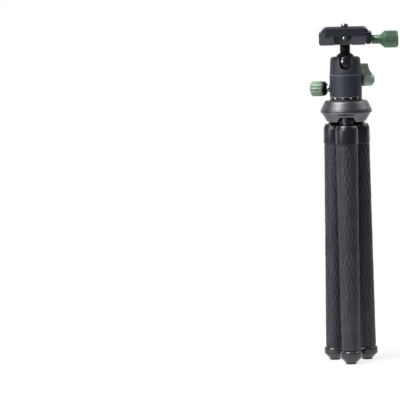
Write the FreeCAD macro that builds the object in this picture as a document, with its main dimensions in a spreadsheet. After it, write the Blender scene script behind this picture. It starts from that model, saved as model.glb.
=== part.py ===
import FreeCAD, Part
import math
import operator
import os
import Sketcher
from FreeCAD import Placement, Rotation, Vector

# Small camera tripod with three bendable legs, a ball head and a dovetail clamp.
# Millimetres. +Z is up, the origin is on the tripod's axis at the level of the feet,
# the front (leg 1 and the housing's notch) looks along -Y and the clamp knob along +X.

# Driving sizes
SIZES = {
    # legs
    "leg_splay": 1.3,
    "hinge_circle": 14.0,
    "hinge_offset": 2.0,
    "hinge_rise": 7.5,
    "foot_radius": 10.0,
    "foot_height": 12.4,
    "foot_sole": 5.0,
    "foot_sole_height": 1.5,
    "foot_sole_step": 0.6,
    "foot_cone_angle": 45.0,
    "foot_turn": 2.0,
    "foot_shoulder": 2.8,
    "foot_trim": 0.5,
    "foot_grip": 8.0,
    "sleeve_length": 188.3,
    "sleeve_top_radius": 9.8,
    "sleeve_foot_radius": 8.4,
    "core_radius": 4.0,
    "bend_seam_drop": 4.8,
    "bend_gap": 0.4,
    "socket_radius": 10.4,
    "socket_height": 18.3,
    "socket_dome": 7.8,
    "socket_dome_drop": 5.0,
    "socket_corner": 1.3,
    "socket_edge": 0.7,
    "socket_grip": 12.0,
    "knuckle_radius": 4.6,
    "neck_radius": 5.5,
    "neck_flare": 2.3,
    "neck_height": 2.6,
    "hinge_pin_radius": 1.5,
    "hinge_pin_seat": 5.2,
    # clearances
    "running_gap": 0.05,
    "ball_gap": 0.05,
    "swing_gap": 0.4,
    "side_gap": 0.3,
    # hub
    "skirt_bottom_drop": 4.5,
    "skirt_bottom_radius": 17.9,
    "skirt_top_rise": 3.1,
    "skirt_top_radius": 22.4,
    "rim_radius": 23.4,
    "rim_height": 1.2,
    "rim_edge": 0.5,
    "slot_top_rise": 0.1,
    "slot_top_width": 12.6,
    "slot_mouth_width": 17.6,
    "slot_depth_radius": 8.2,
    "relief_radius": 19.5,
    "relief_low": 1.6,
    "relief_low_width": 16.6,
    "relief_high": 2.8,
    "relief_high_width": 14.0,
    "cap_band": 1.4,
    "cap_height": 10.0,
    "cap_top_radius": 19.2,
    "cap_round": 2.4,
    "rib_gap": 0.15,
    "stud_radius": 3.175,
    "stud_bevel": 0.5,
    "stud_head_radius": 5.2,
    "stud_head_height": 2.6,
    "stud_head_recess": 3.0,
    "hub_screw_circle": 15.0,
    "hub_screw_radius": 1.25,
    "hub_screw_head": 2.3,
    "hub_screw_head_height": 1.8,
    "hub_screw_grip": 4.0,
    # pan base
    "ring_radius": 14.7,
    "ring_wall": 1.7,
    "ring_height": 3.0,
    "base_flange": 1.1,
    "spindle_radius": 7.0,
    "spindle_height": 9.4,
    "spindle_groove": 0.8,
    "pan_screw_rise": 6.7,
    "stud_reach": 8.5,
    "pan_gap": 0.15,
    # housing
    "housing_radius": 14.7,
    "housing_low_height": 19.35,
    "housing_edge": 0.5,
    "housing_bore": 11.6,
    "housing_floor": 11.0,
    "housing_groove": 0.4,
    "housing_groove_radius": 14.0,
    "housing_up_radius": 13.7,
    "housing_up_foot_radius": 14.5,
    "housing_up_top": 5.9,
    "housing_round": 2.5,
    "housing_lip": 4.6,
    "housing_mouth": 10.1,
    "housing_shoulder": 4.2,
    "housing_spigot_radius": 12.6,
    "housing_spigot": 2.4,
    "notch_width": 11.5,
    "ball_radius": 10.6,
    "ball_rise": 9.9,
    "cup_top_drop": 6.2,
    "cup_bottom_drop": 12.6,
    "cup_bore": 4.0,
    # ball stem
    "stem_radius": 4.65,
    "stem_reach": 17.3,
    "stem_bore_depth": 5.5,
    # side knobs
    "side_screw_radius": 2.0,
    "pan_knob_azimuth": 169.0,
    "pan_shank_radius": 3.0,
    "pan_shank_length": 2.7,
    "pan_screw_point": 1.25,
    "pan_screw_grip": 7.0,
    "pan_flange_length": 3.6,
    "pan_flange_band": 1.5,
    "pan_flange_small": 4.8,
    "pan_flange_large": 6.6,
    "pan_knob_radius": 7.0,
    "pan_knob_length": 11.5,
    "pan_knob_start_edge": 0.8,
    "pan_knob_end_edge": 1.6,
    "pan_knob_end_radius": 4.6,
    "pan_flute_radius": 1.4,
    "pan_flute_depth": 0.65,
    "lever_azimuth": 20.0,
    "lever_rise": 2.75,
    "lever_gap": 0.45,
    "lever_hub_radius": 5.9,
    "lever_hub_length": 12.45,
    "lever_chamfer": 1.0,
    "lever_dome": 4.6,
    "lever_screw_grip": 7.5,
    "lock_screw_point": 3.5,
    "wing_height": 14.9,
    "wing_tip_length": 6.05,
    "wing_waist_length": 8.8,
    "wing_waist_height": 6.6,
    "wing_foot_length": 11.6,
    "wing_bend": 14.0,
    "wing_thickness": 5.2,
    "wing_edge": 1.2,
    # clamp
    "clamp_depth": 36.0,
    "clamp_floor": 7.8,
    "clamp_left": 23.5,
    "clamp_base_right": 18.5,
    "clamp_chamfer": 1.6,
    "clamp_top_edge": 0.65,
    "jaw_top": 3.4,
    "jaw_right": 24.3,
    "jaw_low": 0.6,
    "clamp_screw_rise": 3.7,
    "clamp_screw_radius": 2.5,
    "clamp_screw_bevel": 0.5,
    "clamp_screw_start": 7.2,
    "scoop_left": 10.2,
    "scoop_right": 6.2,
    "scoop_inner": 10.8,
    "scoop_round": 3.0,
    "fixing_radius": 2.5,
    "fixing_head_radius": 4.6,
    "fixing_head_height": 3.5,
    "fixing_recess_radius": 5.0,
    "fixing_recess_floor": 3.0,
    "fixing_reach": 4.0,
    "guide_pin_radius": 1.5,
    "guide_pin_spacing": 22.0,
    "guide_pin_start": 9.0,
    "guide_pin_grip": 4.0,
    "spring_radius": 2.4,
    "spring_wall": 0.6,
    "spring_seat": 5.5,
    "spring_seat_gap": 0.3,
    # clamp knob
    "knob_start_gap": 0.1,
    "knob_neck_radius": 4.1,
    "knob_neck_length": 7.4,
    "knob_cone_length": 4.4,
    "knob_radius": 7.8,
    "knob_grip_length": 10.8,
    "knob_end_chamfer": 1.5,
    "knob_end_radius": 6.6,
    "knob_screw_depth": 9.0,
    "knurl_depth": 0.45,
    "knurl_width": 0.9,
    "knurl_margin": 0.1,
    "vial_radius": 4.75,
    "vial_depth": 3.2,
    "vial_dome": 0.7,
    # plate
    "plate_length": 38.0,
    "dovetail_half": 19.0,
    "dovetail_edge": 0.8,
    "dovetail_rise": 2.6,
    "plate_lip_half": 21.4,
    "plate_lip_gap": 0.3,
    "plate_lip_height": 0.8,
    "plate_top_half": 18.6,
    "plate_height": 7.3,
    "plate_corner": 4.0,
    "pad_recess": 0.8,
    "pad_height": 1.0,
    "pad_margin": 1.2,
    "pad_corner": 2.0,
    "flank_gap": 0.05,
    "camera_screw_radius": 3.175,
    "camera_screw_tip": 3.5,
    "camera_screw_bevel": 0.5,
    "camera_screw_head": 6.2,
    "camera_screw_head_height": 2.2,
    "camera_screw_inset": 0.4,
    "coin_slot_width": 1.4,
    "coin_slot_depth": 1.1,
    "stop_screw_place": 15.5,
    "stop_screw_radius": 1.25,
    "stop_head_radius": 2.5,
    "stop_head_height": 2.8,
    "stop_screw_grip": 4.0,
}
HALF_TURN_MARGIN = 1e-6
LEG_COUNT = 3
LEG_LINKS = 4
PAN_FLUTES = 14
KNOB_KNURLS = 30
CUT_REACH = 1.5  # a cut that leaves a round piece runs on to this many times its radius


# Sizes that know the sheet's name for them
class Size:
    """A number together with the expression that gives it from the sheet's cells."""

    def __init__(self, value, text):
        self.value = float(value)
        self.text = text

    def __add__(self, other):
        return combined(self, "+", other)

    def __radd__(self, other):
        return combined(other, "+", self)

    def __sub__(self, other):
        return combined(self, "-", other)

    def __rsub__(self, other):
        return combined(other, "-", self)

    def __mul__(self, other):
        return combined(self, "*", other)

    def __rmul__(self, other):
        return combined(other, "*", self)

    def __truediv__(self, other):
        return combined(self, "/", other)

    def __neg__(self):
        return combined(0, "-", self)


SIGNS = {"+": operator.add, "-": operator.sub, "*": operator.mul, "/": operator.truediv}


def as_size(amount):
    return amount if isinstance(amount, Size) else Size(amount, repr(amount))


def combined(first, sign, second):
    first = as_size(first)
    second = as_size(second)
    return Size(SIGNS[sign](first.value, second.value), "(%s %s %s)" % (first.text, sign, second.text))


def root(amount):
    return Size(math.sqrt(amount.value), "sqrt(%s)" % amount.text)


def sine(degrees):
    return Size(math.sin(math.radians(degrees.value)), "sin(%s)" % degrees.text)


def cosine(degrees):
    return Size(math.cos(math.radians(degrees.value)), "cos(%s)" % degrees.text)


doc = FreeCAD.newDocument("camera_tripod")
sheet = doc.addObject("Spreadsheet::Sheet", "sizes")
for row, (alias, value) in enumerate(SIZES.items(), start=1):
    sheet.set("A%d" % row, alias)
    sheet.set("B%d" % row, str(value))
    sheet.setAlias("B%d" % row, alias)
doc.recompute()


def size(alias):
    return Size(sheet.get(alias), "sizes." + alias)


def bind(feature, **properties):
    """Ties properties of a feature to the sheet."""
    for name, amount in properties.items():
        amount = as_size(amount)
        setattr(feature, name, amount.value)
        feature.setExpression(name, amount.text)


# Sketches and features
def origin_feature(body, role):
    return [feature for feature in body.Origin.OriginFeatures if feature.Role == role][0]


def new_body(label, place=Placement()):
    body = doc.addObject("PartDesign::Body", label)
    body.Label = label
    body.Placement = place
    return body


def new_sketch(body, plane, lift=None, turn=None):
    """A sketch on one of the body's own planes, lifted along its normal or turned about its own y."""
    sketch = body.newObject("Sketcher::SketchObject", "Sketch")
    sketch.AttachmentSupport = (origin_feature(body, plane), [""])
    sketch.MapMode = "FlatFace"
    if turn is not None:
        sketch.AttachmentOffset = Placement(Vector(), Rotation(Vector(0, 1, 0), turn.value))
    if lift is not None:
        sketch.setExpression("AttachmentOffset.Base.z", lift.text)
    return sketch


def dimension(sketch, kind, geometry, amount):
    amount = as_size(amount)
    index = sketch.addConstraint(Sketcher.Constraint(kind, *geometry, amount.value))
    sketch.setExpression("Constraints[%d]" % index, amount.text)


def place_point(sketch, geometry, vertex, x, y):
    dimension(sketch, "DistanceX", (-1, 1, geometry, vertex), x)
    dimension(sketch, "DistanceY", (-1, 1, geometry, vertex), y)


def arc_between(start, end, radius, counterclockwise):
    """The short arc from start to end, always stored counterclockwise."""
    if not counterclockwise:
        start, end = end, start
    middle = (start + end) * 0.5
    chord = end - start
    left = Vector(-chord.y, chord.x, 0).normalize()
    height = math.sqrt(max(radius * radius - chord.Length * chord.Length / 4, 0))
    centre = middle + left * height
    crown = centre - left * radius
    return Part.Arc(start, crown, end)


def add_loop(sketch, corners, arcs=None):
    """A closed outline through the corners. arcs gives, for the side that starts at a corner,
    its radius and whether it runs counterclockwise; the other sides are straight. A half turn
    is fixed by its centre's height instead, because its ends already give its radius."""
    arcs = arcs or {}
    first = sketch.GeometryCount
    count = len(corners)
    points = [Vector(as_size(x).value, as_size(y).value, 0) for x, y in corners]
    ends = []
    for index in range(count):
        start = points[index]
        end = points[(index + 1) % count]
        if index in arcs:
            radius, counterclockwise = arcs[index]
            sketch.addGeometry(arc_between(start, end, radius.value, counterclockwise), False)
            ends.append((1, 2) if counterclockwise else (2, 1))
        else:
            sketch.addGeometry(Part.LineSegment(start, end), False)
            ends.append((1, 2))
    for index in range(count):
        following = (index + 1) % count
        sketch.addConstraint(Sketcher.Constraint(
            "Coincident", first + index, ends[index][1], first + following, ends[following][0]))
    for index, (x, y) in enumerate(corners):
        place_point(sketch, first + index, ends[index][0], x, y)
    for index, (radius, counterclockwise) in arcs.items():
        chord = points[(index + 1) % count] - points[index]
        if chord.Length < 2 * radius.value * (1 - HALF_TURN_MARGIN):
            dimension(sketch, "Radius", (first + index,), radius)
        else:
            dimension(sketch, "DistanceY", (-1, 1, first + index, 3), corners[index][1])


def add_circle(sketch, x, y, radius):
    index = sketch.GeometryCount
    centre = Vector(as_size(x).value, as_size(y).value, 0)
    sketch.addGeometry(Part.Circle(centre, Vector(0, 0, 1), radius.value), False)
    place_point(sketch, index, 3, x, y)
    dimension(sketch, "Radius", (index,), radius)


def revolve(body, corners, arcs=None, plane="XZ_Plane", axis="V_Axis"):
    """A turned solid: corners are radius and height on the XZ plane."""
    sketch = new_sketch(body, plane)
    add_loop(sketch, corners, arcs)
    turned = body.newObject("PartDesign::Revolution", "Turned")
    turned.Profile = sketch
    turned.ReferenceAxis = (sketch, [axis])
    turned.Angle = 360
    return turned


def pad(body, sketch, length, both_ways=False, flipped=False):
    feature = body.newObject("PartDesign::Pad", "Pad")
    feature.Profile = sketch
    feature.SideType = "Symmetric" if both_ways else "One side"
    feature.Reversed = flipped
    bind(feature, Length=length)
    return feature


def pocket(body, sketch, length, both_ways=False, along_normal=False):
    feature = body.newObject("PartDesign::Pocket", "Pocket")
    feature.Profile = sketch
    feature.SideType = "Symmetric" if both_ways else "One side"
    feature.Reversed = along_normal
    bind(feature, Length=length)
    return feature


def repeat(body, features, count, axis="Z_Axis"):
    doc.recompute()
    pattern = body.newObject("PartDesign::PolarPattern", "Pattern")
    pattern.Originals = features
    pattern.Axis = (origin_feature(body, axis), [""])
    pattern.Angle = 360
    pattern.Occurrences = count
    body.Tip = pattern
    return pattern


def rod(name, radius, length, place):
    """A plain round bar along its own Z."""
    bar = doc.addObject("Part::Cylinder", name)
    bind(bar, Radius=radius, Height=length)
    bar.Placement = place
    return bar


def joined(name, pieces, place=Placement()):
    fuse = doc.addObject("Part::MultiFuse", name)
    fuse.Shapes = pieces
    fuse.Placement = place
    return fuse


def group(label, pieces):
    """Identical fasteners as one sub-part of separate solids."""
    together = doc.addObject("Part::Compound", label)
    together.Label = label
    together.Links = pieces
    return together


def turned_about_z(degrees):
    return Rotation(Vector(0, 0, 1), degrees)


# Levels along the tripod's axis
hinge_circle = size("hinge_circle")
hinge_offset = size("hinge_offset")
splay = size("leg_splay")
foot_height = size("foot_height")
sleeve_top = foot_height + size("sleeve_length")
socket_top = sleeve_top + size("socket_height")
pivot_along_leg = socket_top + size("hinge_rise")
hinge_level = pivot_along_leg * cosine(splay) + hinge_offset * sine(splay)
leg_root = hinge_circle + pivot_along_leg * sine(splay) - hinge_offset * cosine(splay)
rim_level = size("skirt_top_rise") + size("rim_height")
hub_top = rim_level + size("cap_height")
head_level = hinge_level + hub_top
base_height = size("base_flange") + size("ring_height")
housing_level = base_height + size("pan_gap")
housing_split = housing_level + size("housing_low_height")
ball_level = housing_split + size("housing_groove") + size("ball_rise")
clamp_level = ball_level + size("stem_reach")
plate_level = clamp_level + size("clamp_floor")

LEG_AZIMUTHS = [-90 + 360 / LEG_COUNT * leg for leg in range(LEG_COUNT)]
HUB_FRAME = Placement(Vector(0, 0, hinge_level.value), turned_about_z(LEG_AZIMUTHS[0]))
HEAD_FRAME = Placement(Vector(0, 0, head_level.value), Rotation())
BALL_FRAME = Placement(Vector(0, 0, (head_level + ball_level).value), Rotation())
CLAMP_FRAME = Placement(Vector(0, 0, (head_level + clamp_level).value), Rotation())
PLATE_FRAME = Placement(Vector(0, 0, (head_level + plate_level).value), Rotation())


def leg_frame(azimuth):
    """Origin where the leg's axis meets the ground, x outward, z up along the leg."""
    outward = turned_about_z(azimuth)
    base = outward.multVec(Vector(leg_root.value, 0, 0))
    return Placement(base, outward.multiply(Rotation(Vector(0, 1, 0), -splay.value)))


# Legs: a bendable metal core in a rubber sleeve. The flexible length is cut into links by spheres
# centred on the leg's axis, so each link swivels in the one above it without meeting it.
core_radius = size("core_radius")
tongue_width = size("neck_radius") * 2
sole_room = size("foot_sole") + size("foot_sole_step") * 0.5
seam_drop = size("bend_seam_drop")
cup_drop = seam_drop + size("bend_gap")


def sleeve_radius(height):
    taper = (size("sleeve_top_radius") - size("sleeve_foot_radius")) / size("sleeve_length")
    return size("sleeve_foot_radius") + (height - foot_height) * taper


def bend_level(bend):
    """Height along the leg of the bend's centre; bend 1 is the highest."""
    return foot_height + size("sleeve_length") * (LEG_LINKS - bend) / LEG_LINKS


def sphere_at(bend, drop):
    """Radius of the cutting sphere, and where it meets the sleeve's outside and the core."""
    rim_height = bend_level(bend) - drop
    rim_radius = sleeve_radius(rim_height)
    sphere = root(drop * drop + rim_radius * rim_radius)
    core_height = bend_level(bend) - root(sphere * sphere - core_radius * core_radius)
    return sphere, rim_radius, rim_height, core_height


def make_sleeve(label, link, place):
    arcs = {}
    if link < LEG_LINKS:
        sphere, low_radius, low_rim, low_core = sphere_at(link, seam_drop)
        arcs[0] = (sphere, True)
    else:
        low_radius = size("sleeve_foot_radius")
        low_rim = foot_height
        low_core = foot_height
    if link > 1:
        sphere, high_radius, high_rim, high_core = sphere_at(link - 1, cup_drop)
        arcs[2] = (sphere, False)
    else:
        high_radius = size("sleeve_top_radius")
        high_rim = sleeve_top
        high_core = sleeve_top
    revolve(new_body(label, place), [
        (core_radius, low_core), (low_radius, low_rim), (high_radius, high_rim), (core_radius, high_core),
    ], arcs)


def make_core(label, link, place):
    arcs = {}
    if link < LEG_LINKS:
        sphere, rim_radius, rim_height, low_side = sphere_at(link, seam_drop)
        low_end = bend_level(link) - sphere
        arcs[0] = (sphere, True)
    else:
        low_side = foot_height - size("foot_grip")
        low_end = low_side
    if link > 1:
        sphere, rim_radius, rim_height, high_side = sphere_at(link - 1, cup_drop)
        high_end = bend_level(link - 1) - sphere
        arcs[2] = (sphere, False)
    else:
        high_side = sleeve_top + size("socket_grip")
        high_end = high_side
    revolve(new_body(label, place), [
        (0, low_end), (core_radius, low_side), (core_radius, high_side), (0, high_end),
    ], arcs)


def make_foot(label, place):
    """Cap turned as a round shoulder over a cone, on a small sole that is cut level with the ground."""
    body = new_body(label, place)
    radius = size("foot_radius")
    sole = size("foot_sole")
    sole_top = size("foot_sole_height")
    cone_foot = sole + size("foot_sole_step")
    angle = size("foot_cone_angle")
    cone_top = sole_top + (radius - cone_foot) * sine(angle) / cosine(angle)
    bend = size("foot_turn") * (1 - sine(angle)) / cosine(angle)
    shoulder = size("foot_shoulder")
    trim = size("foot_trim")
    grip = foot_height - size("foot_grip")
    revolve(body, [
        (0, -trim), (sole, -trim), (sole, sole_top), (cone_foot, sole_top),
        (radius - bend * cosine(angle), cone_top - bend * sine(angle)), (radius, cone_top + bend),
        (radius, foot_height - shoulder), (radius - shoulder, foot_height),
        (core_radius, foot_height), (core_radius, grip), (0, grip),
    ], {4: (size("foot_turn"), True), 6: (shoulder, True)})
    floor_slope = sine(splay) / cosine(splay)
    sketch = new_sketch(body, "XZ_Plane")
    add_loop(sketch, [
        (-sole_room, sole_room * floor_slope), (-sole_room, -trim * 2), (sole_room, -trim * 2),
        (sole_room, -sole_room * floor_slope),
    ])
    pocket(body, sketch, sole_room * 2, both_ways=True)


def make_socket(label, place):
    """Domed collar over the top of the leg. Its round neck flares out of the collar and is cut
    flat behind, as a tongue that swings on the hinge pin."""
    body = new_body(label, place)
    radius = size("socket_radius")
    dome = size("socket_dome")
    drop = size("socket_dome_drop")
    corner = size("socket_corner")
    edge = size("socket_edge")
    neck = size("neck_radius")
    flare = size("neck_flare")
    grip = sleeve_top + size("socket_grip")
    knuckle = size("knuckle_radius")
    knuckle_top = pivot_along_leg + knuckle
    across = root((dome - corner) * (dome - corner) - (drop - corner) * (drop - corner))
    share = dome / (dome - corner)
    revolve(body, [
        (core_radius, sleeve_top), (radius - edge, sleeve_top), (radius, sleeve_top + edge),
        (radius, socket_top - drop),
        (radius - dome + across * share, socket_top - drop + (drop - corner) * share),
        (radius - dome + across, socket_top), (neck + flare, socket_top), (neck, socket_top + flare),
        (neck, knuckle_top), (0, knuckle_top), (0, grip), (core_radius, grip),
    ], {3: (dome, True), 4: (corner, True), 6: (flare, False)})
    back = hinge_offset - knuckle
    front = hinge_offset + knuckle
    neck_top = socket_top + size("neck_height")
    behind = new_sketch(body, "XZ_Plane")
    add_loop(behind, [
        (-front, neck_top), (back, neck_top), (back, pivot_along_leg), (front, pivot_along_leg),
        (front, knuckle_top + knuckle), (-front, knuckle_top + knuckle),
    ], {2: (knuckle, False)})
    pocket(body, behind, front * 2, both_ways=True)
    bore = new_sketch(body, "XZ_Plane")
    add_circle(bore, hinge_offset, pivot_along_leg, size("hinge_pin_radius") + size("running_gap"))
    pocket(body, bore, tongue_width * 2, both_ways=True)


for leg, azimuth in enumerate(LEG_AZIMUTHS, start=1):
    place = leg_frame(azimuth)
    make_socket("leg_%d_socket" % leg, place)
    make_foot("leg_%d_foot" % leg, place)
    for link in range(1, LEG_LINKS + 1):
        make_sleeve("leg_%d_sleeve_%d" % (leg, link), link, place)
        make_core("leg_%d_core_%d" % (leg, link), link, place)

# Hub: its level zero is the hinge pins' and x is the first leg's azimuth.
pocket_radius = size("knuckle_radius") + size("swing_gap")
pocket_width = tongue_width + size("side_gap") * 2
pin_length = pocket_width + size("hinge_pin_seat") * 2
stud_radius = size("stud_radius")
WEB_AZIMUTH = 180 / LEG_COUNT


def knuckle_pocket(body):
    """Round room for a leg's knuckle, as wide as its tongue and the gaps beside it."""
    sketch = new_sketch(body, "XZ_Plane")
    add_circle(sketch, hinge_circle, 0, pocket_radius)
    return pocket(body, sketch, pocket_width, both_ways=True)


def skirt_cut(body, depth_radius, low, low_width, high, high_width):
    """Cut from a radius outward through the skirt, narrower at its top."""
    sketch = new_sketch(body, "YZ_Plane", lift=depth_radius)
    add_loop(sketch, [
        (-low_width * 0.5, low), (low_width * 0.5, low), (high_width * 0.5, high),
        (-high_width * 0.5, high),
    ])
    return pocket(body, sketch, size("rim_radius"), along_normal=True)


def screw_hole(body, radius, start, length):
    """Upright hole between two legs, cut upward from a level."""
    sketch = new_sketch(body, "XY_Plane", lift=start)
    turn = math.radians(WEB_AZIMUTH)
    circle = size("hub_screw_circle")
    add_circle(sketch, circle * math.cos(turn), circle * math.sin(turn), radius)
    return pocket(body, sketch, length, along_normal=True)


def make_spider():
    """Skirt with a slot for each leg's tongue, a shallow relief over the slot, and a rim."""
    body = new_body("hub_spider", HUB_FRAME)
    bottom = -size("skirt_bottom_drop")
    rim = size("rim_radius")
    skirt_top = size("skirt_top_rise")
    recess_top = bottom + size("stud_head_recess")
    edge = size("rim_edge")
    revolve(body, [
        (size("stud_head_radius"), bottom), (size("skirt_bottom_radius"), bottom),
        (size("skirt_top_radius"), skirt_top), (rim - edge, skirt_top), (rim, skirt_top + edge),
        (rim, rim_level), (stud_radius, rim_level), (stud_radius, recess_top),
        (size("stud_head_radius"), recess_top),
    ])
    room = knuckle_pocket(body)
    slot_top = size("slot_top_rise")
    passage = skirt_cut(body, size("slot_depth_radius"), bottom, size("slot_mouth_width"),
                        slot_top, size("slot_top_width"))
    relief = skirt_cut(body, size("relief_radius"), size("relief_low"), size("relief_low_width"),
                       size("relief_high"), size("relief_high_width"))
    channel = new_sketch(body, "XZ_Plane")
    pin = size("hinge_pin_radius")
    add_loop(channel, [
        (hinge_circle - pin, rim_level), (hinge_circle - pin, 0), (hinge_circle + pin, 0),
        (hinge_circle + pin, rim_level),
    ], {1: (pin, True)})
    seat = pocket(body, channel, pin_length, both_ways=True)
    thread = screw_hole(body, size("hub_screw_radius"), bottom, rim_level - bottom)
    recess = screw_hole(body, size("hub_screw_head"), bottom, size("hub_screw_head_height"))
    repeat(body, [room, passage, relief, seat, thread, recess], LEG_COUNT)


def make_cap():
    """Cone with a rounded top edge; ribs under it drop into the pin channels and keep the pins down."""
    body = new_body("hub_cap", HUB_FRAME)
    rim = size("rim_radius")
    edge = size("rim_edge")
    top_radius = size("cap_top_radius")
    band_top = rim_level + size("cap_band")
    run = rim - top_radius
    rise = hub_top - band_top
    slant = root(run * run + rise * rise)
    bend = size("cap_round") * rise / (slant + run)
    revolve(body, [
        (stud_radius, rim_level), (rim - edge, rim_level), (rim, rim_level + edge), (rim, band_top),
        (top_radius + bend * run / slant, hub_top - bend * rise / slant), (top_radius - bend, hub_top),
        (stud_radius, hub_top),
    ], {4: (size("cap_round"), True)})
    pin = size("hinge_pin_radius")
    gap = size("rib_gap")
    rib_sketch = new_sketch(body, "XZ_Plane")
    add_loop(rib_sketch, [
        (hinge_circle - pin + gap, pin + gap), (hinge_circle + pin - gap, pin + gap),
        (hinge_circle + pin - gap, rim_level), (hinge_circle - pin + gap, rim_level),
    ])
    ribs = pad(body, rib_sketch, pin_length - gap * 2, both_ways=True)
    room = knuckle_pocket(body)
    thread = screw_hole(body, size("hub_screw_radius"), rim_level, size("hub_screw_grip") + gap)
    repeat(body, [ribs, room, thread], LEG_COUNT)


def make_hinge_pins():
    pins = []
    for azimuth in LEG_AZIMUTHS:
        along = turned_about_z(azimuth).multiply(Rotation(Vector(1, 0, 0), 90))
        centre = turned_about_z(azimuth).multVec(Vector(hinge_circle.value, pin_length.value / 2, 0))
        place = Placement(centre + Vector(0, 0, hinge_level.value), along)
        pins.append(rod("hinge_pin", size("hinge_pin_radius"), pin_length, place))
    group("leg_hinge_pins", pins)


def make_hub_screws():
    screws = []
    bottom = hinge_level - size("skirt_bottom_drop")
    recess = size("hub_screw_head_height")
    for azimuth in LEG_AZIMUTHS:
        outward = turned_about_z(azimuth + WEB_AZIMUTH)
        centre = outward.multVec(Vector(size("hub_screw_circle").value, 0, bottom.value))
        upper = Placement(centre + Vector(0, 0, recess.value), Rotation())
        shank_length = rim_level + size("skirt_bottom_drop") - recess + size("hub_screw_grip")
        shank = rod("hub_screw_shank", size("hub_screw_radius"), shank_length, upper)
        head = rod("hub_screw_top", size("hub_screw_head"), recess, Placement(centre, Rotation()))
        screws.append(joined("hub_screw", [shank, head]))
    group("hub_screws", screws)


def make_hub_stud():
    """Threaded stud from under the hub up into the head's base."""
    head_top = size("stud_head_recess") - size("skirt_bottom_drop")
    head_radius = size("stud_head_radius") - size("side_gap")
    tip = hub_top + size("stud_reach")
    edge = size("stud_bevel")
    revolve(new_body("hub_stud", HUB_FRAME), [
        (0, head_top - size("stud_head_height")), (head_radius, head_top - size("stud_head_height")),
        (head_radius, head_top), (stud_radius, head_top), (stud_radius, tip - edge),
        (stud_radius - edge, tip), (0, tip),
    ])


make_spider()
make_cap()
make_hinge_pins()
make_hub_screws()
make_hub_stud()

# Head base: level zero is the hub's top. The base and its ring stay on the hub and the housing
# turns on the spindle.
spindle = size("spindle_radius")
spindle_top = base_height + size("spindle_height")
pan_screw_level = base_height + size("pan_screw_rise")
groove = size("spindle_groove")
drum_radius = size("ring_radius") - size("ring_wall")


def make_pan_base():
    bore_top = size("stud_reach") + size("side_gap")
    revolve(new_body("pan_base", HEAD_FRAME), [
        (stud_radius, 0), (size("ring_radius"), 0), (size("ring_radius"), size("base_flange")),
        (drum_radius, size("base_flange")), (drum_radius, base_height), (spindle, base_height),
        (spindle, pan_screw_level - groove * 2), (spindle - groove, pan_screw_level - groove),
        (spindle - groove, pan_screw_level + groove), (spindle, pan_screw_level + groove * 2),
        (spindle, spindle_top), (0, spindle_top), (0, bore_top), (stud_radius, bore_top),
    ])


def make_scale_ring():
    revolve(new_body("pan_scale_ring", HEAD_FRAME), [
        (drum_radius, size("base_flange")), (size("ring_radius"), size("base_flange")),
        (size("ring_radius"), base_height), (drum_radius, base_height),
    ])


make_pan_base()
make_scale_ring()

# Housing: the lower shell turns on the spindle and carries both side knobs; the upper shell
# screws into it and holds the ball down on the cup.
wedge_level = housing_level + size("housing_floor")
lever_level = wedge_level + size("lever_rise")
cup_level = ball_level - size("cup_bottom_drop")
side_screw = size("side_screw_radius")


def side_hole(body, azimuth, height, radius, length):
    """Hole across the body from its axis outward."""
    sketch = new_sketch(body, "YZ_Plane", turn=azimuth)
    add_circle(sketch, 0, height, radius)
    return pocket(body, sketch, length, along_normal=True)


def make_housing_lower():
    body = new_body("housing_lower", HEAD_FRAME)
    radius = size("housing_radius")
    edge = size("housing_edge")
    bore = size("housing_bore")
    spigot = size("housing_spigot_radius")
    spindle_bore = spindle + size("running_gap")
    ledge = housing_split - size("housing_spigot")
    revolve(body, [
        (spindle_bore, housing_level), (radius - edge, housing_level), (radius, housing_level + edge),
        (radius, housing_split - edge), (radius - edge, housing_split), (spigot, housing_split),
        (spigot, ledge), (bore, ledge), (bore, wedge_level), (spindle_bore, wedge_level),
    ])
    side_hole(body, size("pan_knob_azimuth"), pan_screw_level, side_screw, radius * CUT_REACH)
    side_hole(body, size("lever_azimuth"), lever_level, side_screw, radius * CUT_REACH)


def make_housing_upper():
    body = new_body("housing_upper", BALL_FRAME)
    radius = size("housing_up_radius")
    bottom = -size("ball_rise")
    split = bottom - size("housing_groove")
    spigot = size("housing_spigot_radius")
    bore = size("housing_bore")
    foot = split - size("housing_spigot")
    seat = size("ball_radius") + size("ball_gap")
    shoulder = -size("housing_shoulder")
    lip = size("housing_lip")
    top = size("housing_up_top")
    rounding = size("housing_round")
    revolve(body, [
        (bore, foot), (spigot, foot), (spigot, split), (size("housing_groove_radius"), split),
        (size("housing_groove_radius"), bottom), (size("housing_up_foot_radius"), bottom),
        (radius, top - rounding),
        (radius - rounding, top), (size("housing_mouth"), top), (root(seat * seat - lip * lip), lip),
        (seat, 0), (seat, shoulder), (bore, shoulder),
    ], {6: (rounding, True), 9: (seat, False)})
    half = size("notch_width") * 0.5
    notch = new_sketch(body, "XZ_Plane")
    add_loop(notch, [(-half, 0), (half, 0), (half, top * 2), (-half, top * 2)], {0: (half, True)})
    pocket(body, notch, radius * CUT_REACH, along_normal=True)


def make_ball_cup():
    seat = size("ball_radius") + size("ball_gap")
    bottom = -size("cup_bottom_drop")
    top = -size("cup_top_drop")
    bore = size("cup_bore")
    outside = size("housing_bore") - size("running_gap")
    revolve(new_body("ball_cup", BALL_FRAME), [
        (bore, bottom), (outside, bottom), (outside, top), (root(seat * seat - top * top), top),
        (bore, -root(seat * seat - bore * bore)),
    ], {3: (seat, False)})


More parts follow.
